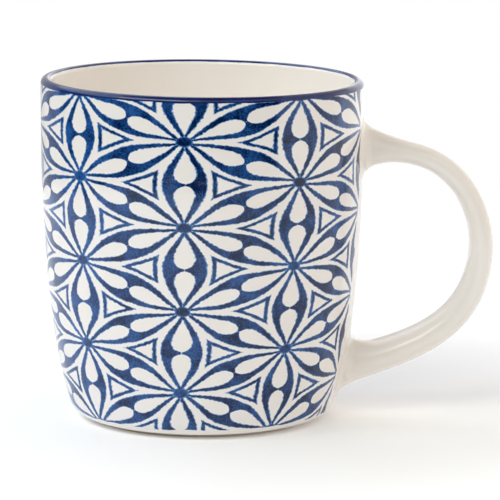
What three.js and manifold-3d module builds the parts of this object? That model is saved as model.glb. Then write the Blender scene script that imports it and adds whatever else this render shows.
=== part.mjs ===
// A barrel-shaped stoneware mug: a thrown cup with a pulled strap handle, luted on with slip
// at an upper and a lower root. Millimetres, +Z up. The origin is the middle of the whole
// mug's outline on the surface it stands on, with the handle towards +X.

import * as THREE from 'three';
import { ParametricGeometry } from 'three/addons/geometries/ParametricGeometry.js';
import { mergeVertices } from 'three/addons/utils/BufferGeometryUtils.js';
import Module from 'manifold-3d';

// ---- Driving dimensions: the cup -------------------------------------------------------

const HEIGHT = 92.5;         // foot to the crest of the lip
const RIM_RADIUS = 43.7;     // outside of the lip
const LIP_THICKNESS = 3;     // the lip is a full round of this thickness
const TURN_RADIUS = 36.5;    // where the wall ends and turns under to the foot
const TURN_HEIGHT = 5;
const WALL_LEAN = new THREE.Vector2(42.6, 25.4);  // pulls the lower wall outwards
const WALL_BELLY = new THREE.Vector2(43.9, 53.5); // pulls the upper wall outwards
const FOOT_RADIUS = 30.4;    // outside of the ring that the mug stands on
const FOOT_WIDTH = 4;
const FOOT_HEIGHT = 0.9;
const RECESS_DEPTH = 1.6;    // hollow inside the foot ring
const FLOOR_HEIGHT = 6.4;    // top of the floor inside
const FLOOR_RADIUS = 25;     // flat part of the floor
const INNER_BELLY = new THREE.Vector2(38.9, 66);  // pulls the upper inside outwards
const INNER_LEAN = new THREE.Vector2(38.2, 30);   // pulls the lower inside outwards
const INNER_HEEL = new THREE.Vector2(34.5, 14);   // where the inside starts to turn to the floor
const INNER_TURN = new THREE.Vector2(32.6, 6.7);  // corner that the turn rounds off

// ---- Driving dimensions: the handle ----------------------------------------------------

// The middle line of the strap, in the plane of the handle: x from the cup's axis, and z.
// It starts and ends inside the cup's wall, where the strap is trimmed to the wall's curve.
const STRAP_TOP = [[38, 70.6], [67.7, 79.9], [75.8, 57.3], [75.8, 47.6]];
const STRAP_BOTTOM = [[75.8, 47.6], [75.8, 15.4], [40, 17.5], [32, 9.5]];
const STRAP_THICKNESS = [6, 6, 9.7];     // at the upper root, its pull midway, at the lower root
const STRAP_WIDTH = [14.5, 11, 14.5];    // the same, across the strap
const STRAP_ROUNDNESS = 2.4;             // 2 is an ellipse, more is a softer rectangle

// How far each side of the strap flares out where it meets the wall, and how far from it.
const FLARES = {
  upper: { wall: 43.7, outer: [9.8, 14.4], inner: [1.6, 9.6], sides: [2.2, 9] },
  lower: { wall: 38.8, outer: [1.2, 3], inner: [9.3, 11.5], sides: [2, 7] },
};

// ---- Driving dimensions: the slip joints -----------------------------------------------

const GAP = 0.3;             // left open between two pieces that touch
const SLIP_THICKNESS = 1.6;  // the layer of slip between the wall and the strap
const SLIP_BEAD = 0.5;       // how far the slip stands out round the strap's root

// ---- Fineness of the solids ------------------------------------------------------------

const ROUND_SEGMENTS = 72;   // round the cup
const WALL_STEPS = 12;       // up each side of the wall
const TURN_STEPS = 5;        // round each turn at the base
const LIP_STEPS = 8;         // over the lip
const STRAP_STEPS = 44;      // along the strap
const STRAP_SEGMENTS = 24;   // round the strap
const WELD_DISTANCE = 1e-4;
const BEYOND = 400;          // longer than anything on the mug

// ---- Colours ---------------------------------------------------------------------------

const PRINTED_WHITE = 0xb9c2d4;
const WARM_WHITE = 0xe8e0d8;
const SLIP_WHITE = 0xe2d9cf;
const GLAZE = { roughness: 0.15, metalness: 0 };

// ---- Helpers ---------------------------------------------------------------------------

const wasm = await Module();
wasm.setup();

// A geometry with positions only, whose coincident points are one, standing +Z up.
function weld(geometry) {
  const bare = geometry.clone();
  bare.deleteAttribute('normal');
  bare.deleteAttribute('uv');
  const welded = mergeVertices(bare, WELD_DISTANCE);
  const corners = welded.index.array;
  const kept = [];
  for (let i = 0; i < corners.length; i += 3) {
    const [a, b, c] = corners.slice(i, i + 3);
    if (a !== b && b !== c && c !== a) kept.push(a, b, c);
  }
  welded.setIndex(kept);
  return welded;
}

function toSolid(geometry) {
  return new wasm.Manifold(new wasm.Mesh({
    numProp: 3,
    vertProperties: new Float32Array(geometry.getAttribute('position').array),
    triVerts: new Uint32Array(geometry.index.array),
  }));
}

function toGeometry(solid) {
  const mesh = solid.getMesh();
  const geometry = new THREE.BufferGeometry();
  geometry.setAttribute('position', new THREE.BufferAttribute(mesh.vertProperties, 3));
  geometry.setIndex(new THREE.BufferAttribute(mesh.triVerts, 1));
  return geometry;
}

// A solid of revolution about +Z from a profile of (radius, height) points.
function turn(profile) {
  const lathe = new THREE.LatheGeometry(profile, ROUND_SEGMENTS);
  return weld(lathe.rotateX(Math.PI / 2));
}

const point = (radius, height) => new THREE.Vector2(radius, height);

// ---- The cup ---------------------------------------------------------------------------

// From the foot ring, round the turn of the base and up the barrel-shaped wall to the lip.
function outerProfile() {
  const wallStart = point(TURN_RADIUS, TURN_HEIGHT);
  const lipStart = point(RIM_RADIUS, HEIGHT - LIP_THICKNESS / 2);
  const lean = (WALL_LEAN.x - wallStart.x) / (WALL_LEAN.y - wallStart.y);
  const corner = point(wallStart.x - lean * (wallStart.y - FOOT_HEIGHT), FOOT_HEIGHT);
  const turnUnder = new THREE.QuadraticBezierCurve(
    point(FOOT_RADIUS + FOOT_HEIGHT / 2, FOOT_HEIGHT), corner, wallStart);
  const wall = new THREE.CubicBezierCurve(wallStart, WALL_LEAN, WALL_BELLY, lipStart);
  return [...turnUnder.getPoints(TURN_STEPS), ...wall.getPoints(WALL_STEPS).slice(1)];
}

// A full half circle over the top of the wall, from its outside to its inside.
function lipProfile() {
  const radius = LIP_THICKNESS / 2;
  const lip = new THREE.EllipseCurve(
    RIM_RADIUS - radius, HEIGHT - radius, radius, radius, 0, Math.PI);
  return lip.getPoints(LIP_STEPS).slice(1);
}

// Down the inside, round the heel and across the floor to the axis.
function innerProfile() {
  const top = point(RIM_RADIUS - LIP_THICKNESS, HEIGHT - LIP_THICKNESS / 2);
  const wall = new THREE.CubicBezierCurve(top, INNER_BELLY, INNER_LEAN, INNER_HEEL);
  const heel = new THREE.QuadraticBezierCurve(
    INNER_HEEL, INNER_TURN, point(FLOOR_RADIUS, FLOOR_HEIGHT));
  return [
    ...wall.getPoints(WALL_STEPS).slice(1),
    ...heel.getPoints(TURN_STEPS).slice(1),
    point(0, FLOOR_HEIGHT),
  ];
}

function undersideProfile() {
  const inside = FOOT_RADIUS - FOOT_WIDTH;
  return [
    point(0, RECESS_DEPTH),
    point(inside - RECESS_DEPTH / 2, RECESS_DEPTH),
    point(inside, 0),
    point(FOOT_RADIUS, 0),
  ];
}

function cupGeometry() {
  return turn([...undersideProfile(), ...outerProfile(), ...lipProfile(), ...innerProfile()]);
}

// The cup's outer shape as one solid plug, grown outwards, for trimming what meets the wall.
function wallPlug(growth) {
  const wall = outerProfile().map(({ x, y }) => point(x + growth, y));
  return toSolid(turn([point(0, FOOT_HEIGHT), ...wall, point(0, wall.at(-1).y)]));
}

// ---- The handle ------------------------------------------------------------------------

const inHandlePlane = ([x, z]) => new THREE.Vector3(x, 0, z);

function strapLine() {
  const line = new THREE.CurvePath();
  line.add(new THREE.CubicBezierCurve3(...STRAP_TOP.map(inHandlePlane)));
  line.add(new THREE.CubicBezierCurve3(...STRAP_BOTTOM.map(inHandlePlane)));
  return line;
}

// A quadratic blend from start to end, pulled towards a middle value.
const blend = ([start, pull, end], u) =>
  (1 - u) ** 2 * start + 2 * u * (1 - u) * pull + u ** 2 * end;

// A concave quarter-round: its full rise at the wall, nothing beyond its run.
function flare([rise, run], distance) {
  const reach = THREE.MathUtils.clamp(1 - distance / run, 0, 1);
  return rise * (1 - Math.sqrt(1 - reach ** 2));
}

// The strap as one closed body. Each end narrows to a point inside the cup's wall.
function strapGeometry(growth) {
  const line = strapLine();
  const across = new THREE.Vector3(0, 1, 0);
  const rounded = (value) => Math.sign(value) * Math.abs(value) ** (2 / STRAP_ROUNDNESS);
  const surface = (v, u, target) => {
    const centre = line.getPoint(u);
    const outwards = across.clone().cross(line.getTangent(u)).negate();
    const root = u < 0.5 ? FLARES.upper : FLARES.lower;
    const distance = centre.x - root.wall;
    const open = u === 0 || u === 1 ? 0 : 1;
    const angle = -2 * Math.PI * v;
    const side = Math.cos(angle) > 0 ? root.outer : root.inner;
    const deep = blend(STRAP_THICKNESS, u) / 2 + flare(side, distance) + growth;
    const wide = blend(STRAP_WIDTH, u) / 2 + flare(root.sides, distance) + growth;
    target.copy(centre)
      .addScaledVector(outwards, open * deep * rounded(Math.cos(angle)))
      .addScaledVector(across, open * wide * rounded(Math.sin(angle)));
  };
  return weld(new ParametricGeometry(surface, STRAP_SEGMENTS, STRAP_STEPS));
}

function handleGeometry() {
  const strap = toSolid(strapGeometry(0));
  return toGeometry(strap.subtract(wallPlug(2 * GAP + SLIP_THICKNESS)));
}

// ---- The slip joints -------------------------------------------------------------------

// Everything above or below the middle of the handle.
function halfSpace(sign) {
  const middle = STRAP_TOP.at(-1)[1];
  const box = new THREE.BoxGeometry(BEYOND, BEYOND, BEYOND);
  return toSolid(weld(box.translate(0, 0, middle + sign * BEYOND / 2)));
}

// The pad of slip that fills the space between the wall and one end of the strap.
function slipGeometry(sign) {
  const root = toSolid(strapGeometry(SLIP_BEAD)).intersect(halfSpace(sign));
  const layer = root.intersect(wallPlug(GAP + SLIP_THICKNESS));
  return toGeometry(layer.subtract(wallPlug(GAP)));
}

// ---- The mug ---------------------------------------------------------------------------

function piece(name, geometry, color) {
  const mesh = new THREE.Mesh(geometry, new THREE.MeshStandardMaterial({ color, ...GLAZE }));
  mesh.name = name;
  return mesh;
}

const mug = new THREE.Group();
mug.add(
  piece('cup_body', cupGeometry(), PRINTED_WHITE),
  piece('handle', handleGeometry(), WARM_WHITE),
  piece('upper_slip_joint', slipGeometry(1), SLIP_WHITE),
  piece('lower_slip_joint', slipGeometry(-1), SLIP_WHITE),
);

// The cup's axis stands to one side, so that the outline's middle is over the origin.
const outline = new THREE.Box3().setFromObject(mug);
mug.position.x = -(outline.min.x + outline.max.x) / 2;

export default mug;
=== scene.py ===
# %% [markdown]
# # A printed stoneware mug
#
# This lesson dresses the plain model of a mug. The model fixes where the cup, the handle and
# the two slip joints are, and how big they are. What is added here is the smooth glazed
# surface, the blue print with its hand-cut edges, the bare clay foot, and the studio.
#
# Everything is in metres, with +Z up and the handle towards +X.

import math

import bmesh
import bpy
import numpy as np
from mathutils import Matrix, Vector
from mathutils.geometry import interpolate_bezier


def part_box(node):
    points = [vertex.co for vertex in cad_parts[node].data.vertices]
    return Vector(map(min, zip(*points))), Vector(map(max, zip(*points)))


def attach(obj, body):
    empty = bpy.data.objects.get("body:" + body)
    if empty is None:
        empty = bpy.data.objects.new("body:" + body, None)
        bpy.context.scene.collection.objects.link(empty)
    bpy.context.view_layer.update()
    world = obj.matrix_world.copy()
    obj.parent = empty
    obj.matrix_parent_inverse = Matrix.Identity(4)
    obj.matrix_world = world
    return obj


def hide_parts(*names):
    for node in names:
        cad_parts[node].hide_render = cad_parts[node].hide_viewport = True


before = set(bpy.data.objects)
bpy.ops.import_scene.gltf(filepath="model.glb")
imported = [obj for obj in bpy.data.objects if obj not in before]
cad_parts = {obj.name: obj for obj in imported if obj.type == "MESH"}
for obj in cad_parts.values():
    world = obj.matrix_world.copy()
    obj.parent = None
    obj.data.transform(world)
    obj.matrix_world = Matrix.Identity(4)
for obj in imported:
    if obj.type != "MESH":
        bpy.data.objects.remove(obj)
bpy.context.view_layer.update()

# %% [markdown]
# ## Where the cup stands
#
# The origin is the middle of the whole mug, handle included, so the cup's own axis lies to one
# side of it. The cup is as deep as its box, which gives its radius. Its wall is drawn with one
# easy curve from the turn at the base to the lip. The points below are the same as the model's,
# in millimetres: a radius from the cup's axis and a height.

# %% Cup measures
MM = 0.001
cup_low, cup_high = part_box("cup_body")
AXIS_X = (cup_low.x + cup_high.x) / 2
CUP_HEIGHT = cup_high.z
BELLY_RADIUS = (cup_high.y - cup_low.y) / 2

LIP_THICKNESS = 3
RIM_RADIUS = 43.7
FOOT_RADIUS = 30.4
FOOT_WIDTH = 4
FOOT_HEIGHT = 0.9
RECESS_DEPTH = 1.6
FLOOR_HEIGHT = 6.4
FLOOR_RADIUS = 25
OUTER_WALL = ((36.5, 5), (42.6, 25.4), (43.9, 53.5), (43.7, 91))
INNER_WALL = ((40.7, 91), (38.9, 66), (38.2, 30), (34.5, 14))
INNER_TURN = (32.6, 6.7)

# A fired cup is never quite true. This one's lip sinks a little towards the handle and rises
# towards the front, both as a rise in height over a distance from the axis, and it is a touch
# higher all round. The foot is level.
LIP_LEAN_X = -0.40 / RIM_RADIUS
LIP_LEAN_Y = -0.31 / RIM_RADIUS
LIP_RISE = 0.11
print(f"cup axis at x = {AXIS_X:.4f}, {CUP_HEIGHT:.4f} high, belly radius {BELLY_RADIUS:.4f}")

# %% [markdown]
# ## The camera
#
# The mug is seen from about a metre away and a little above its lip, with a long lens, so that
# its sides stay nearly parallel. The camera turns slightly to the right to take in the handle.

# %% Camera
CAMERA_DISTANCE = 1.0
CAMERA_HEIGHT = 0.222
CAMERA_PAN = math.radians(0.74)
CAMERA_TILT = math.radians(10.02)
CAMERA_ROLL = math.radians(0.15)
FOCAL_LENGTH = 268.5


def aim_camera():
    data = bpy.data.cameras.new("camera")
    data.lens = FOCAL_LENGTH
    data.sensor_width = 36
    camera = bpy.data.objects.new("camera", data)
    bpy.context.scene.collection.objects.link(camera)
    pan = Matrix.Rotation(-CAMERA_PAN, 4, "Z")
    tilt = Matrix.Rotation(math.pi / 2 - CAMERA_TILT, 4, "X")
    roll = Matrix.Rotation(CAMERA_ROLL, 4, "Z")
    place = Matrix.Translation((AXIS_X, -CAMERA_DISTANCE, CAMERA_HEIGHT))
    camera.matrix_world = place @ pan @ tilt @ roll
    bpy.context.scene.camera = camera
    return camera


camera = aim_camera()
print("camera at", tuple(round(c, 3) for c in camera.location))

# %% [markdown]
# ## Turning a shape on the wheel
#
# A potter turns a cup, so most of it is a surface of revolution: one outline spun about the
# axis. A spun mesh needs nothing but rings of points. Each outline here is a closed loop, so
# each piece is a closed body, and soft shading is broken only where two faces meet sharply.

# %% Helpers for spun pieces
ROUND_STEPS = 192
CREASE = math.radians(38)
WELD_DISTANCE = 1e-7


def bezier(points, steps):
    """A cubic curve as steps + 1 points, from its four control points."""
    start, pull_start, pull_end, end = (Vector((*p, 0)) for p in points)
    return [tuple(p.xy) for p in interpolate_bezier(start, pull_start, pull_end, end, steps + 1)]


def quarter(start, corner, end, steps):
    """A curve that leaves start and reaches end along the two sides of a corner."""
    start, corner, end = Vector(start), Vector(corner), Vector(end)
    near = start + (corner - start) * 2 / 3
    far = end + (corner - end) * 2 / 3
    return bezier((start, near, far, end), steps)


def skin(rings, points, closed=True):
    """Four-sided faces from each ring of points to the next and, if closed, back to the first."""
    faces = []
    for ring in range(rings if closed else rings - 1):
        here, there = ring * points, (ring + 1) % rings * points
        for i in range(points):
            j = (i + 1) % points
            faces.append((here + i, here + j, there + j, there + i))
    return faces


def add_piece(name, vertices, faces, crease=CREASE):
    mesh = bpy.data.meshes.new(name)
    mesh.from_pydata(vertices, [], faces)
    mesh.validate()
    work = bmesh.new()
    work.from_mesh(mesh)
    bmesh.ops.remove_doubles(work, verts=work.verts, dist=WELD_DISTANCE)
    bmesh.ops.recalc_face_normals(work, faces=work.faces)
    work.to_mesh(mesh)
    work.free()
    mesh.shade_smooth()
    mesh.set_sharp_from_angle(angle=crease)
    piece = bpy.data.objects.new(name, mesh)
    bpy.context.scene.collection.objects.link(piece)
    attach(piece, "root")
    print(f"{name}: {len(mesh.vertices)} points")
    return piece


def spin(name, outline):
    """Spins a closed outline of (radius, height) points, in millimetres, about the cup's axis."""
    vertices = []
    for step in range(ROUND_STEPS):
        angle = 2 * math.pi * step / ROUND_STEPS
        for radius, height in outline:
            x, y = radius * math.cos(angle), radius * math.sin(angle)
            lean = (LIP_RISE + LIP_LEAN_X * x + LIP_LEAN_Y * y) * height * MM / CUP_HEIGHT
            vertices.append((AXIS_X + x * MM, y * MM, (height + lean) * MM))
    return add_piece(name, vertices, skin(ROUND_STEPS, len(outline)))


print("one round of the wheel is drawn in", ROUND_STEPS, "steps")

# %% [markdown]
# ## The cup, in three pieces of surface
#
# One fired cup carries three finishes: the printed outside, which runs over the lip, the plain
# glazed inside, and the bare clay of the foot ring. Each finish gets a closed piece of its own,
# and the pieces meet edge to edge on the cup's surface.

# %% Cup outlines
LIP_RADIUS = LIP_THICKNESS / 2
LIP_CENTRE = (RIM_RADIUS - LIP_RADIUS, OUTER_WALL[3][1])
TURN_STEPS = 14
WALL_STEPS = 90
LIP_STEPS = 28
HEEL_STEPS = 24
FLOOR_STEPS = 12


def outer_outline():
    """From the foot, round the turn of the base and up the wall to the lip."""
    (wall_x, wall_z), (pull_x, pull_z) = OUTER_WALL[:2]
    lean = (pull_x - wall_x) / (pull_z - wall_z)
    corner = (wall_x - lean * (wall_z - FOOT_HEIGHT), FOOT_HEIGHT)
    foot = (FOOT_RADIUS + FOOT_HEIGHT / 2, FOOT_HEIGHT)
    return quarter(foot, corner, OUTER_WALL[0], TURN_STEPS) + bezier(OUTER_WALL, WALL_STEPS)[1:]


def lip_outline():
    """A half circle over the top of the wall, from outside to inside."""
    angles = [math.pi * i / LIP_STEPS for i in range(1, LIP_STEPS)]
    x, z = LIP_CENTRE
    return [(x + LIP_RADIUS * math.cos(a), z + LIP_RADIUS * math.sin(a)) for a in angles]


def inner_outline():
    """Down the inside, round the heel and across the floor to the axis."""
    heel = quarter(INNER_WALL[3], INNER_TURN, (FLOOR_RADIUS, FLOOR_HEIGHT), HEEL_STEPS)
    across = [(FLOOR_RADIUS * (1 - i / FLOOR_STEPS), FLOOR_HEIGHT) for i in range(1, FLOOR_STEPS)]
    return bezier(INNER_WALL, WALL_STEPS) + heel[1:] + across


OUTER = outer_outline()
INNER = inner_outline()
wall_heights = [height for radius, height in OUTER]
wall_radii = [radius for radius, height in OUTER]


def wall_radius(height):
    """The outside radius of the cup at a height, in millimetres."""
    return float(np.interp(height, wall_heights, wall_radii))


print(f"the wall is {wall_radius(CUP_HEIGHT / MM / 2):.1f} mm from the axis half way up")

# %% [markdown]
# ### Where the three finishes meet
#
# The printed piece comes a little way down the inside, where the lining takes over at the same
# height, so no step shows there. Both are closed by a core line, which runs down the middle of
# the clay. A closed loop can't touch the axis, so the lining keeps a pinhole too fine to see.

# %% Spin the cup
LINING_TOP = 89
LINING_GAP = 0.05
PINHOLE = 0.01
LAP = 0.2
FOOT_EDGE = 0.35

seam = next(i for i, point in enumerate(INNER) if point[1] <= LINING_TOP)
upper_inside, lower_inside = INNER[:seam + 1], INNER[seam:]
core = [
    (LIP_CENTRE[0] - 2 * LAP, LINING_TOP - 1),
    (39.6, 60),
    (38.4, 30),
    (35.2, 12),
    (FOOT_RADIUS - 1, 5),
]
printed_wall = spin("printed_wall", OUTER + lip_outline() + upper_inside + core)

recess_edge = FOOT_RADIUS - FOOT_WIDTH - RECESS_DEPTH / 2
recess = [
    (PINHOLE, RECESS_DEPTH),
    (recess_edge - 1, RECESS_DEPTH),
    (recess_edge, RECESS_DEPTH + LAP / 2),
]
lining_back = [(x - LINING_GAP, z) for x, z in reversed(core)]
lining = spin("lining", recess + lining_back + lower_inside + [(PINHOLE, FLOOR_HEIGHT)])

foot_ring = spin(
    "foot_ring",
    [
        (recess_edge - LAP, RECESS_DEPTH + 0.3),
        (recess_edge + LAP, RECESS_DEPTH - LAP),
        (FOOT_RADIUS - FOOT_WIDTH, FOOT_EDGE),
        (FOOT_RADIUS - FOOT_WIDTH + FOOT_EDGE, 0),
        (FOOT_RADIUS - FOOT_EDGE, 0),
        (FOOT_RADIUS, FOOT_EDGE),
        (FOOT_RADIUS + FOOT_HEIGHT / 2, FOOT_HEIGHT + 0.02),
        (FOOT_RADIUS - 0.5, FOOT_HEIGHT + 2),
    ],
)

# %% [markdown]
# ## The handle
#
# A pulled strap is a soft rectangle in section. It starts high on the wall, swings out and
# comes back lower down, a little thicker. At each root the clay is smoothed out on to the wall,
# so the strap flares there. The middle line is two curves; each step along it carries one
# section, and the ones at both ends are held just inside the wall.

# %% Strap
STRAP_TOP = ((38, 70.6), (67.7, 79.9), (75.8, 57.3), (75.8, 47.6))
STRAP_BOTTOM = ((75.8, 47.6), (75.8, 15.4), (40, 17.5), (32, 9.5))
STRAP_THICKNESS = (6, 6, 9.7)
STRAP_WIDTH = (14.5, 11, 14.5)
STRAP_ROUNDNESS = 2.4
UPPER_FLARE = {"wall": 43.7, "outer": (9.8, 14.4), "inner": (1.6, 9.6), "sides": (2.2, 9)}
LOWER_FLARE = {"wall": 38.8, "outer": (0, 3), "inner": (9.3, 11.5), "sides": (2, 7)}
CURVE_STEPS = 200
STRAP_STEPS = 240
SECTION_POINTS = 64
STRAP_CREASE = math.radians(60)
BURIED = 0.8


def even_line(points, count):
    """count points spread evenly along a line of points."""
    points = np.array(points)
    steps = np.linalg.norm(np.diff(points, axis=0), axis=1)
    travelled = np.concatenate([[0], np.cumsum(steps)])
    at = np.linspace(0, travelled[-1], count)
    return np.stack([np.interp(at, travelled, points[:, i]) for i in range(2)], axis=1)


def blend(values, u):
    """A quadratic blend from a start to an end value, pulled towards a middle one."""
    start, pull, end = values
    return (1 - u) ** 2 * start + 2 * u * (1 - u) * pull + u ** 2 * end


def flare(shape, distance):
    """A concave quarter round: its full rise at the wall, and nothing beyond its run."""
    rise, run = shape
    reach = min(max(1 - distance / run, 0), 1)
    return rise * (1 - math.sqrt(1 - reach ** 2))


def rounded(value):
    return math.copysign(abs(value) ** (2 / STRAP_ROUNDNESS), value)


def strap_rings():
    """Rings of points round the strap, in millimetres from the cup's axis."""
    curve = bezier(STRAP_TOP, CURVE_STEPS) + bezier(STRAP_BOTTOM, CURVE_STEPS)[1:]
    line = even_line(curve, STRAP_STEPS)
    ahead = np.gradient(line, axis=0)
    ahead /= np.linalg.norm(ahead, axis=1)[:, None]
    rings = []
    for step in range(STRAP_STEPS):
        (x, z), (along_x, along_z) = line[step], ahead[step]
        u = step / (STRAP_STEPS - 1)
        root = UPPER_FLARE if u < 0.5 else LOWER_FLARE
        distance = x - root["wall"]
        half_width = blend(STRAP_WIDTH, u) / 2 + flare(root["sides"], distance)
        ring = []
        for corner in range(SECTION_POINTS):
            angle = 2 * math.pi * corner / SECTION_POINTS
            side = root["outer"] if math.cos(angle) > 0 else root["inner"]
            deep = blend(STRAP_THICKNESS, u) / 2 + flare(side, distance)
            out = deep * rounded(math.cos(angle))
            wide = half_width * rounded(math.sin(angle))
            ring.append((x - along_z * out, wide, z + along_x * out))
        rings.append(ring)
    return rings


def hold_in_wall(x, y, z):
    """Moves a point that lies deep in the cup's wall to just under the wall's surface."""
    radius = math.hypot(x, y)
    least = wall_radius(z) - BURIED
    if radius < least:
        x, y = x * least / radius, y * least / radius
    return AXIS_X + x * MM, y * MM, z * MM


def make_strap(rings):
    vertices = [hold_in_wall(*point) for ring in rings for point in ring]
    faces = skin(len(rings), SECTION_POINTS, closed=False)
    for first in (0, (len(rings) - 1) * SECTION_POINTS):
        faces.append(tuple(first + corner for corner in range(SECTION_POINTS)))
    return add_piece("strap_handle", vertices, faces, crease=STRAP_CREASE)


STRAP_LINE = strap_rings()
strap = make_strap(STRAP_LINE)

# %% [markdown]
# ## The slip joints
#
# The handle is stuck on with slip, clay let down to a cream, and the potter draws the extra round
# the root with a wet finger. That leaves a small hollow fillet. It is found from the two surfaces
# it joins: where each line along the strap comes out of the wall, one point is taken a little
# way up the strap and one the same way out along the wall, and a hollow curve joins the two.

# %% Slip joints
SLIP_REACH = 2.4
SLIP_STEPS = 8
SLIP_PROUD = 0.03


def off_wall(point):
    """How far a point is outside the cup's wall, in millimetres."""
    return math.hypot(point[0], point[1]) - wall_radius(point[2])


def leaves_wall(line, away, distance):
    """The first point along a line that is this far outside the wall."""
    step = next(i for i in range(1, len(line)) if away[i] >= distance > away[i - 1])
    part = (distance - away[step - 1]) / (away[step] - away[step - 1])
    return line[step - 1] + (line[step] - line[step - 1]) * part


def make_slip(name, rings):
    lines = np.array(rings).transpose(1, 0, 2)
    distances = [[off_wall(point) for point in line] for line in lines]
    touches = [leaves_wall(line, away, 0) for line, away in zip(lines, distances)]
    middle = np.mean(touches, axis=0)
    vertices = []
    for line, away, touch in zip(lines, distances, touches):
        up = leaves_wall(line, away, SLIP_REACH)
        normal = np.array([touch[0], touch[1], 0]) / math.hypot(touch[0], touch[1])
        out = touch - middle
        out -= normal * (out @ normal)
        out /= np.linalg.norm(out)
        foot = touch + out * SLIP_REACH
        foot[:2] *= (wall_radius(foot[2]) + SLIP_PROUD) / math.hypot(foot[0], foot[1])
        loop = []
        for i in range(SLIP_STEPS + 1):
            t = i / SLIP_STEPS
            bend = (1 - t) ** 2 * up + 2 * t * (1 - t) * touch + t ** 2 * foot
            loop.append(bend + out * SLIP_PROUD + normal * SLIP_PROUD)
        loop.append(foot - normal * BURIED)
        loop.append(touch - normal * BURIED - out * BURIED)
        loop.append(up - out * BURIED)
        vertices += [(AXIS_X + x * MM, y * MM, z * MM) for x, y, z in loop]
    return add_piece(name, vertices, skin(len(lines), len(loop)))


half_way = STRAP_STEPS // 2
upper_slip = make_slip("upper_slip", STRAP_LINE[:half_way])
lower_slip = make_slip("lower_slip", STRAP_LINE[:half_way:-1])

# %% [markdown]
# ## Writing shader sums as sums
#
# A print is a rule about distances, so its material is mostly arithmetic. Wire lets a socket be
# used in a sum as a number is, and each operator adds the Math node that it stands for. Finish
# is a material being built, and its node() adds any other node.

# %% Shader helpers
GLAZE_IOR = 1.45


class Wire:
    """The output of a node, which takes part in a sum as a number does."""

    def __init__(self, finish, socket):
        self.finish = finish
        self.socket = socket

    def maths(self, operation, *values):
        return self.finish.maths(operation, *values)

    def __add__(self, other):
        return self.maths("ADD", self, other)

    def __radd__(self, other):
        return self.maths("ADD", other, self)

    def __sub__(self, other):
        return self.maths("SUBTRACT", self, other)

    def __rsub__(self, other):
        return self.maths("SUBTRACT", other, self)

    def __mul__(self, other):
        return self.maths("MULTIPLY", self, other)

    def __rmul__(self, other):
        return self.maths("MULTIPLY", other, self)

    def __truediv__(self, other):
        return self.maths("DIVIDE", self, other)

    def __pow__(self, other):
        return self.maths("POWER", self, other)

    def __neg__(self):
        return self.maths("MULTIPLY", self, -1)


class Finish:
    """A material, or a room's background, under construction."""

    def __init__(self, name, kind=bpy.data.materials):
        self.material = kind.new(name)
        self.material.use_nodes = True
        self.tree = self.material.node_tree
        self.tree.nodes.clear()

    def node(self, kind, settings, inputs, output=0):
        """Adds a node: its settings first, then a value or a wire for each named socket."""
        node = self.tree.nodes.new(kind)
        for name, value in settings.items():
            setattr(node, name, value)
        for name, value in inputs.items():
            if isinstance(value, Wire):
                self.tree.links.new(value.socket, node.inputs[name])
            else:
                node.inputs[name].default_value = value
        return Wire(self, node.outputs[output]) if node.outputs else None

    def maths(self, operation, *values):
        return self.node("ShaderNodeMath", {"operation": operation}, dict(enumerate(values)))

    def least(self, first, second):
        return self.maths("MINIMUM", first, second)

    def most(self, first, second):
        return self.maths("MAXIMUM", first, second)

    def step(self, value, start, end):
        """Rises smoothly from 0 to 1 while value goes from start to end."""
        settings = {"interpolation_type": "SMOOTHSTEP"}
        inputs = {"Value": value, "From Min": start, "From Max": end}
        return self.node("ShaderNodeMapRange", settings, inputs)

    def edge(self, value, level, soft):
        """0 where value is under a level and 1 over it, with a soft change between them."""
        return self.step(value, level - soft, level + soft)

    def mix(self, factor, first, second):
        """A colour between two colours."""
        inputs = {0: factor, 6: first, 7: second}
        return self.node("ShaderNodeMix", {"data_type": "RGBA"}, inputs, output=2)

    def place(self):
        """The point being shaded, in metres in the mug's own frame."""
        return self.node("ShaderNodeTexCoord", {}, {}, output=3)

    def split(self, vector):
        """The three numbers of a vector."""
        first = self.node("ShaderNodeSeparateXYZ", {}, {0: vector})
        outputs = first.socket.node.outputs
        return [Wire(self, outputs[i]) for i in range(3)]

    def noise(self, size, detail=2, roughness=0.5, seed=None):
        """Cloudy noise from 0 to 1, in blotches about size metres across; a seed gives another."""
        settings = {} if seed is None else {"noise_dimensions": "4D"}
        inputs = {"Vector": self.place(), "Scale": 1 / size}
        inputs.update({"Detail": detail, "Roughness": roughness})
        if seed is not None:
            inputs["W"] = seed
        return self.node("ShaderNodeTexNoise", settings, inputs)

    def surface(self, colour, roughness, height=None, depth=0, **constants):
        """Ends the material in a non-metal surface, with an optional bump."""
        inputs = {"Base Color": colour, "Roughness": roughness, "IOR": GLAZE_IOR, **constants}
        if height is not None:
            bump = {"Height": height, "Distance": depth}
            inputs["Normal"] = self.node("ShaderNodeBump", {}, bump)
        shader = self.node("ShaderNodeBsdfPrincipled", {}, inputs)
        self.node("ShaderNodeOutputMaterial", {}, {"Surface": shader})
        return self.material


def colour(red, green, blue):
    """A colour from its display values, 0 to 255, as the linear numbers a shader needs."""
    def linear(value):
        value /= 255
        return value / 12.92 if value <= 0.04045 else ((value + 0.055) / 1.055) ** 2.4
    return (linear(red), linear(green), linear(blue), 1)


def dress(piece, material):
    piece.data.materials.clear()
    piece.data.materials.append(material)
    print(f"{piece.name} wears {material.name}")


print("a middle grey is", round(colour(128, 128, 128)[0], 3), "to a shader")

# %% [markdown]
# ## White glaze
#
# A clear glaze over pale stoneware is never a flat white. It is warmer where it lies thick, it
# has a few iron specks, and its surface ripples slightly, which breaks up reflections.

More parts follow.
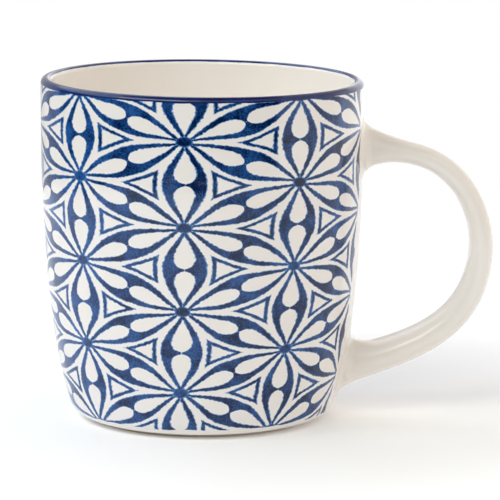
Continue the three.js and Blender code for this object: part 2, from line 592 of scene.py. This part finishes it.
# %% White glaze
GLAZE_WHITE = colour(241, 237, 234)
GLAZE_WARM = colour(236, 229, 222)
# the lining whites are lighter than the outside white: painted light, which brightens the shaded
# inside of the cup
LINING_WHITE_PAINTED_LIGHT = colour(252, 247, 241)
LINING_WARM_PAINTED_LIGHT = colour(248, 240, 231)
HANDLE_WHITE = colour(244, 239, 233)
HANDLE_WARM = colour(236, 227, 217)
SPECK = colour(150, 128, 108)
POOLED = (0.35, 0.75)
WARMTH = 0.5
SPECKS_APART = 7 * MM
SPECK_SIZE = 0.28 * MM
SPECK_STRENGTH = 0.45
GLAZE_BUMP = 0.2 * MM
GLOSS_DRIFT = 15 * MM


def specks(finish):
    """A sparse scatter of tiny dots, 0 to 1."""
    inputs = {"Vector": finish.place(), "Scale": 1 / SPECKS_APART}
    distance = finish.node("ShaderNodeTexVoronoi", {}, inputs)
    return 1 - finish.step(distance * SPECKS_APART, SPECK_SIZE * 0.5, SPECK_SIZE)


def glaze_white(finish, white=GLAZE_WHITE, warm=GLAZE_WARM):
    """The colour of clear glaze over pale clay."""
    pooled = finish.step(finish.noise(30 * MM, 3), *POOLED)
    base = finish.mix(pooled * WARMTH, white, warm)
    return finish.mix(specks(finish) * SPECK_STRENGTH, base, SPECK)


def gloss(finish, least, drift):
    """A roughness that drifts slowly up from the least one."""
    return least + finish.noise(GLOSS_DRIFT, 2) * drift


def ripple(finish):
    """The gentle unevenness of a fired glaze: long waves and a fine orange peel."""
    return finish.noise(9 * MM, 1) + finish.noise(1.1 * MM, 1) * 0.05


def make_white_glaze(name, white, warm):
    finish = Finish(name)
    white = glaze_white(finish, white, warm)
    return finish.surface(white, gloss(finish, 0.07, 0.05), ripple(finish), GLAZE_BUMP)


# the lining wears the lighter whites, painted light for the shaded inside of the cup
white_glaze = make_white_glaze("white_glaze", LINING_WHITE_PAINTED_LIGHT, LINING_WARM_PAINTED_LIGHT)
handle_glaze = make_white_glaze("handle_glaze", HANDLE_WHITE, HANDLE_WARM)
dress(lining, white_glaze)
dress(strap, handle_glaze)
dress(upper_slip, handle_glaze)
dress(lower_slip, handle_glaze)

# %% [markdown]
# ## The print
#
# The print is a net of flowers. Six spindles leave each flower's middle for its six
# neighbours, two white petals lie end to end in each spindle, and a small hollow triangle fills
# each space between three spindles. Because the net repeats and mirrors, a point only needs two
# numbers: how far it is from the nearest flower along the nearest spindle, and how far to one
# side of it. Both are in units of the distance between two flowers.

# %% Print measures
ROW_PITCH = 22.4 * MM
TOP_ROW = 92.05 * MM
COLUMNS_APART = math.sqrt(3) / 2
COLUMN_TURN = math.radians(41.9)
FIRST_COLUMN = math.radians(-6.0)
# the two sides of the sheet, which stop short of the handle
RIGHT_EDGE = 1.943 * COLUMNS_APART
LEFT_EDGE = -5.95 * COLUMNS_APART
SIDE_SOFT = 0.005
print(f"a column of flowers every {COLUMN_TURN * BELLY_RADIUS / MM:.1f} mm round the belly")

# %% [markdown]
# ### Laying the sheet
#
# The print is put on as one wet sheet. Lower down the cup narrows, so there the sheet slides a
# little away from the handle and is squeezed, and its flowers crowd most on the handle's side.

# %% Where a point is in the net
SLIDE_HEIGHT = 66 * MM
SLIDE_TURN = math.radians(4)
SQUEEZE = 0.045
CROWDING = 0.03
CROWDED_BELOW = (48 * MM, 70 * MM)
CROWDED_ABOVE = (-5 * MM, 20 * MM)


def net_place(finish):
    """Where a point is in the net, across it and down it, and its turn, height and radius."""
    x, y, z = finish.split(finish.place())
    lean = LIP_RISE * MM + LIP_LEAN_X * (x - AXIS_X) + LIP_LEAN_Y * y
    z = z * (1 - lean / CUP_HEIGHT)
    # half a turn either side of the point opposite the handle
    turn = finish.maths("ARCTAN2", -y, AXIS_X - x)
    radius = finish.maths("SQRT", (x - AXIS_X) * (x - AXIS_X) + y * y)
    low = finish.most(SLIDE_HEIGHT - z, 0) / SLIDE_HEIGHT
    laid = (turn - math.pi / 2 - FIRST_COLUMN + SLIDE_TURN * low * low) / COLUMN_TURN
    crowded = (1 - finish.step(z, *CROWDED_BELOW)) * finish.step(z, *CROWDED_ABOVE)
    column = laid * (1 + SQUEEZE * low * low) + finish.most(laid, 0) * (CROWDING * crowded)
    return column * COLUMNS_APART, (TOP_ROW - z) / ROW_PITCH, turn, z, radius


WOBBLE = 0.05
WOBBLE_SIZE = 12 * MM
WOBBLES_PER_METRE = 95


def hand_wobble(finish, across, down):
    """The small errors of a hand-cut stencil, added to a place in the net."""
    across = across + (finish.noise(WOBBLE_SIZE, 1) - 0.5) * WOBBLE
    down = down + (finish.noise(1 / WOBBLES_PER_METRE, 1, seed=4) - 0.5) * WOBBLE
    return across, down


print("the sheet slides up to", round(math.degrees(SLIDE_TURN)), "degrees at the foot")


# %% The nearest spindle
def spindle_place(finish, across, down):
    """A point's place along and beside the nearest spindle, and its distance from the flower."""
    across_a = finish.maths("PINGPONG", across, COLUMNS_APART)
    down_a = finish.maths("PINGPONG", down - 0.5, 0.5)
    across_b = COLUMNS_APART - across_a
    down_b = 0.5 - down_a
    reach_a = across_a * across_a + down_a * down_a
    reach_b = across_b * across_b + down_b * down_b
    nearer = finish.maths("LESS_THAN", reach_a, reach_b)
    side = across_b + (across_a - across_b) * nearer
    drop = down_b + (down_a - down_b) * nearer
    along = finish.most(side * COLUMNS_APART + drop * 0.5, drop)
    beside = finish.maths("ABSOLUTE", drop * COLUMNS_APART - side * 0.5)
    reach = finish.maths("SQRT", finish.least(reach_a, reach_b))
    return along, finish.least(beside, side), reach


print("flowers down the cup:", math.floor(CUP_HEIGHT / ROW_PITCH) + 1)

# %% [markdown]
# ### Spindles, petals and triangles
#
# A spindle is half a sine wave to each side, pinched towards its ends. A petal is a drop with its
# point at the flower's middle. The triangle is a thin line that keeps clear of three spindles.

# %% The blue of the net
SPINDLE_WIDTH = 0.160
SPINDLE_PINCH = 1.25
PETAL_START = 0.082
PETAL_LENGTH = 0.405
PETAL_WIDTH = 0.134
PETAL_FULLNESS = 4
PETAL_ROUNDNESS = 0.65
TRIANGLE_OUTER = 0.198
TRIANGLE_INNER = 0.231
TRIANGLE_BEND = 0.25
MIDDLE = 0.060
MIDDLE_SOFT = 0.018
CUT_SOFT = 0.011
CUT_RAGGED = 0.028


def flower_net(finish, along, beside, reach):
    """How much blue there is at a point, 0 to 1."""
    ragged = (finish.noise(0.8 * MM, 2) - 0.5) * CUT_RAGGED
    beside, reach = beside + ragged, reach + ragged
    spindle = SPINDLE_WIDTH * finish.maths("SINE", along * math.pi) ** SPINDLE_PINCH
    drop = finish.least(finish.most((along - PETAL_START) / PETAL_LENGTH, 0), 1)
    petal = PETAL_WIDTH * drop * (1 - drop ** PETAL_FULLNESS) ** PETAL_ROUNDNESS
    in_spindle = finish.edge(spindle - beside, 0, CUT_SOFT)
    in_petal = finish.edge(petal - beside, 0, CUT_SOFT)
    rise = 0.5 - along
    hollow = beside + TRIANGLE_BEND * rise * rise
    in_triangle = finish.edge(hollow, TRIANGLE_INNER, CUT_SOFT)
    outline = finish.edge(hollow, TRIANGLE_OUTER, CUT_SOFT) - in_triangle
    middle = 1 - finish.edge(reach, MIDDLE, MIDDLE_SOFT)
    return finish.most(finish.most(in_spindle * (1 - in_petal), outline), middle)


print(f"a petal is {PETAL_LENGTH * ROW_PITCH / MM:.1f} mm long")

# %% [markdown]
# ### Cobalt
#
# Cobalt lies unevenly: pale where it ran thin and near black where it pooled, with a pale edge.
# The band over the lip is brushed on, so it is more even, and it hangs lower outside than in.

# %% Cobalt
BLUE_EDGE = colour(88, 142, 204)
BLUE_THIN = colour(44, 98, 170)
BLUE_POOLED = colour(2, 25, 66)
LIP_BLUE = colour(22, 30, 88)
LIP_SHARE = 0.75
# the pale edge comes first as the blue thickens, and the full wash over it
PALE_EDGE = (0.05, 0.55)
FULL_WASH = (0.45, 1.0)
PRINT_BITE = 0.04
WASH = 0.56
POOLS = 2.0
GRAIN = 1.5
HEAVY = 0.24
HEAVY_TURN = (0.6, 1.7)
PRINT_BOTTOM = 3.0 * MM
BAND_OUTSIDE = 1.45 * MM
BAND_INSIDE = 0.5 * MM
LINE_SOFT = 0.1 * MM


def blue_wash(finish, turn):
    pools = finish.noise(5.5 * MM, 3, 0.6) - 0.5
    grain = finish.noise(0.4 * MM, 1) - 0.5
    # the sheet took more colour towards one end
    heavy = finish.step(turn, *HEAVY_TURN) * HEAVY
    depth = finish.least(finish.most(WASH + heavy + pools * POOLS + grain * GRAIN, 0), 1)
    return finish.mix(depth, BLUE_THIN, BLUE_POOLED)


def in_sheet(finish, across, z):
    """1 within the printed sheet's sides and over its bottom edge."""
    past_left = finish.edge(across, LEFT_EDGE, SIDE_SOFT)
    past_right = finish.edge(across, RIGHT_EDGE, SIDE_SOFT)
    torn = z + (finish.noise(4 * MM, 1) - 0.5) * 0.8 * MM
    return past_left * (1 - past_right) * finish.edge(torn, PRINT_BOTTOM, LINE_SOFT)


def lip_band(finish, z, outside):
    """1 where the blue band lies over the lip."""
    brush = (finish.noise(6 * MM, 2) - 0.5) * 0.6 * MM
    hangs = finish.edge(z + brush, CUP_HEIGHT - BAND_OUTSIDE, LINE_SOFT)
    tucks = finish.edge(z + brush * 0.5, CUP_HEIGHT - BAND_INSIDE, LINE_SOFT)
    return tucks + (hangs - tucks) * outside


print(f"the band hangs {BAND_OUTSIDE / MM:.2f} mm down the outside")


# %% Printed glaze
def make_print():
    finish = Finish("printed_glaze")
    across, down, turn, z, radius = net_place(finish)
    across, down = hand_wobble(finish, across, down)
    # below the lip, every point of this piece that shows is on the outside
    sunk = finish.most(LINING_TOP * MM - z, 0)
    outside = finish.edge(radius + sunk, LIP_CENTRE[0] * MM, LINE_SOFT)
    band = lip_band(finish, z, outside)
    net = flower_net(finish, *spindle_place(finish, across, down))
    blue = finish.most(net * in_sheet(finish, across, z) * outside, band)
    # inside the lip this piece wears the lining's lighter whites, painted light for the shaded
    # inside
    inner_white_painted_light = glaze_white(finish, LINING_WHITE_PAINTED_LIGHT, LINING_WARM_PAINTED_LIGHT)
    white = finish.mix(outside, inner_white_painted_light, glaze_white(finish))
    tinted = finish.mix(finish.step(blue, *PALE_EDGE), white, BLUE_EDGE)
    wash = finish.mix(band * LIP_SHARE, blue_wash(finish, turn), LIP_BLUE)
    printed = finish.mix(finish.step(blue, *FULL_WASH), tinted, wash)
    height = ripple(finish) - blue * PRINT_BITE
    return finish.surface(printed, gloss(finish, 0.06, 0.04), height, GLAZE_BUMP)


dress(printed_wall, make_print())

# %% [markdown]
# ## Bare clay
#
# The foot is wiped clean before firing, or it would stick to the kiln shelf. Bare stoneware is
# matt and slightly gritty, and it darkens where it has been handled.

# %% Foot
CLAY = colour(214, 200, 180)
CLAY_STAINED = colour(190, 172, 148)
GRIT = colour(150, 128, 104)
STAINED = (0.3, 0.8)
GRITTY = (0.62, 0.8)
GRIT_STRENGTH = 0.6
GRIT_BUMP = 0.4 * MM


def make_bare_clay():
    finish = Finish("bare_stoneware")
    grit = finish.noise(0.8 * MM, 3, 0.7)
    stain = finish.noise(10 * MM, 2)
    clay = finish.mix(finish.step(stain, *STAINED), CLAY, CLAY_STAINED)
    dotted = finish.mix(finish.step(grit, *GRITTY) * GRIT_STRENGTH, clay, GRIT)
    return finish.surface(dotted, 0.75 + grit * 0.2, grit, GRIT_BUMP)


dress(foot_ring, make_bare_clay())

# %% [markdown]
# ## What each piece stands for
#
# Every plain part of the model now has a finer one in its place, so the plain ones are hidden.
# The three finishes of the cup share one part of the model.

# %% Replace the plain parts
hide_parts("cup_body")
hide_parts("handle")
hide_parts("upper_slip_joint")
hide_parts("lower_slip_joint")
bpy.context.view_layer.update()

# %% [markdown]
# ## The studio
#
# Glaze is a mirror, so a mug is lit by deciding what it mirrors. White cloth hangs beside and
# behind it, which whitens its edges; the room is dark where the camera stands, which keeps the
# blues deep; and the pale table whitens the lower half of the print a little. Two soft boxes on
# the left give the lip its shine. The cloth is a background whose brightness depends on
# direction, and the camera itself sees plain white in its place.

# %% Table
TABLE_RADIUS = 0.40
TABLE_SIDES = 96
# the table paper glows faintly, painted light that keeps it white; it glows less near the mug,
# which paints it darker around the mug
GLOW_NEAR = 0.12
GLOW_FAR = 0.27
GLOW_REACH = (0.05, 0.16)


def grey(level):
    return (level, level, level, 1)


def make_paper():
    finish = Finish("glowing_white_paper")
    x, y, z = finish.split(finish.place())
    away = finish.maths("SQRT", x * x + y * y)
    paper = finish.mix(finish.noise(4 * MM, 3) * 0.1, grey(0.92), grey(0.87))
    glow = finish.mix(finish.step(away, *GLOW_REACH), grey(GLOW_NEAR), grey(GLOW_FAR))
    return finish.surface(paper, 0.9, **{"Emission Color": glow, "Emission Strength": 1})


def make_table():
    angles = [2 * math.pi * i / TABLE_SIDES for i in range(TABLE_SIDES)]
    points = [(TABLE_RADIUS * math.cos(a), TABLE_RADIUS * math.sin(a), 0) for a in angles]
    mesh = bpy.data.meshes.new("table")
    mesh.from_pydata(points, [], [tuple(range(TABLE_SIDES))])
    mesh.materials.append(make_paper())
    table = bpy.data.objects.new("table", mesh)
    bpy.context.scene.collection.objects.link(table)


make_table()
print("table", 2 * TABLE_RADIUS, "across")

# %% White cloth
PLAIN = Vector((1, 1, 1))
BLUE_SHADE = Vector((0.84, 0.9, 1))
WARM_SHADE = Vector((1, 0.91, 0.8))
# each cloth: its turn from the camera's side towards the handle and its height above the
# horizon, both as a start and an end in degrees, how bright it is, and its shade
CLOTHS = {
    "back left": ((-180, -121), (-15, 25), 0.6, PLAIN),
    "back right": ((115, 180), (-15, 25), 1.45, PLAIN),
    "right": ((55, 115), (-15, 25), 1.2, WARM_SHADE),
    "upper left": ((-180, 0), (25, 60), 1.8, BLUE_SHADE),
    "upper right": ((0, 180), (25, 60), 0.9, WARM_SHADE),
}
CLOTH_EDGE = 3


def cloth_mask(room, turn, height, turns, heights):
    """1 in the directions where one cloth hangs, with soft edges."""
    start, end = turns
    low, high = heights
    # measured from the cloth's middle, because turns start again behind the mug
    away = room.maths("ABSOLUTE", room.maths("WRAP", turn - (start + end) / 2, 180, -180))
    beside = 1 - room.edge(away, (end - start) / 2, CLOTH_EDGE)
    under = 1 - room.edge(height, high, CLOTH_EDGE)
    return beside * room.edge(height, low, CLOTH_EDGE) * under


def hang_cloths():
    room = Finish("white_cloths", bpy.data.worlds)
    x, y, z = room.split(room.node("ShaderNodeTexCoord", {}, {}))
    turn = room.maths("ARCTAN2", x, -y) * (180 / math.pi)
    height = room.maths("ARCSINE", z) * (180 / math.pi)
    light = (0, 0, 0)
    for turns, heights, level, shade in CLOTHS.values():
        there = cloth_mask(room, turn, height, turns, heights) * level
        lit = {0: shade, "Scale": there}
        patch = room.node("ShaderNodeVectorMath", {"operation": "SCALE"}, lit)
        light = room.node("ShaderNodeVectorMath", {"operation": "ADD"}, {0: light, 1: patch})
    seen = room.node("ShaderNodeLightPath", {}, {})
    shown = room.mix(seen, light, (1, 1, 1, 1))
    background = room.node("ShaderNodeBackground", {}, {"Color": shown})
    room.node("ShaderNodeOutputWorld", {}, {"Surface": background})
    bpy.context.scene.world = room.material


hang_cloths()
print("cloths:", ", ".join(CLOTHS))

# %% Soft boxes
BOX_DISTANCE = 1.1
AIM = Vector((AXIS_X, 0, 0.05))


def add_soft_box(name, turn, height, width, depth, power, shade):
    """A soft box at a turn from the camera's side and a height above the horizon, in degrees."""
    data = bpy.data.lights.new(name, "AREA")
    data.shape = "RECTANGLE"
    data.size = width
    data.size_y = depth
    data.energy = power
    data.color = shade
    box = bpy.data.objects.new(name, data)
    bpy.context.scene.collection.objects.link(box)
    turn, height = math.radians(turn), math.radians(height)
    flat = math.cos(height)
    out = Vector((math.sin(turn) * flat, -math.cos(turn) * flat, math.sin(height)))
    box.location = AIM + BOX_DISTANCE * out
    box.rotation_euler = (-out).to_track_quat("-Z", "Y").to_euler()
    print(name, "at", tuple(round(c, 2) for c in box.location))


add_soft_box("soft_key", -40, 42, 0.9, 0.22, 3.5, (1, 1, 0.82))
add_soft_box("soft_fill", -95, 35, 0.8, 0.6, 0.75, (0.9, 0.9, 1))
bpy.context.scene.view_settings.view_transform = "Standard"
